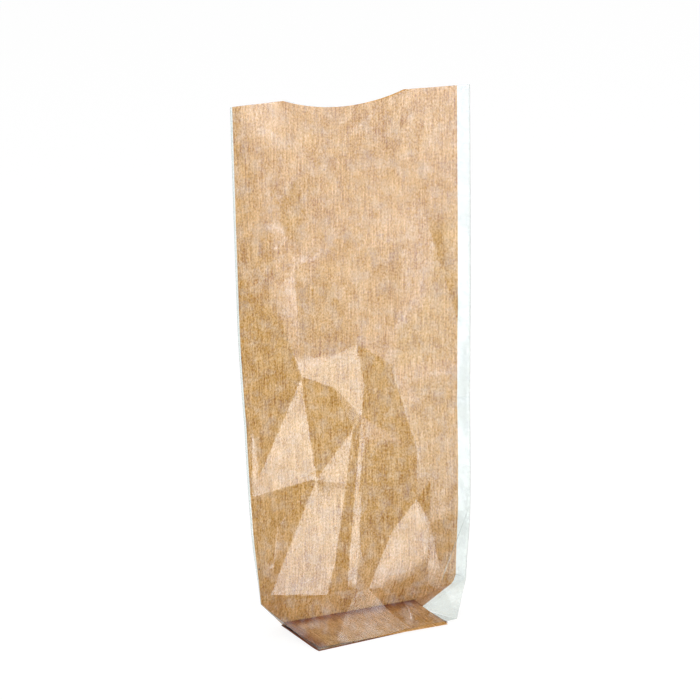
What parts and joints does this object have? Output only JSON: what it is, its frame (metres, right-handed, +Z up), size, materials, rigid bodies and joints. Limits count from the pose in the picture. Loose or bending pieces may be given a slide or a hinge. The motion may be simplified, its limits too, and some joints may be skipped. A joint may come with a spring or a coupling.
{
  "type": "flat-bottom bag with a clear film front and a kraft-paper back",
  "caption": "Open standing flat-bottom bag: crumpled clear film front, brown kraft-paper back, thumb notch at the mouth and a folded block bottom with a kraft patch.",
  "frame": {"origin": "under the middle of the bag's box, on the surface that it stands on", "axes": "+Z up, along the bag's height; the clear film front faces -Y and the kraft back +Y; +X to the right as seen from the front"},
  "size_m": [0.123, 0.0554, 0.274],
  "materials": {
    "clear_film": "clear glossy film, crumpled",
    "kraft_paper": "ribbed brown kraft paper, matt",
    "kraft_patch": "brown kraft paper, matt"
  },
  "bodies": {
    "root": {"film_front": "clear_film", "kraft_back": "kraft_paper", "bottom_patch": "kraft_patch"}
  },
  "joints": []
}
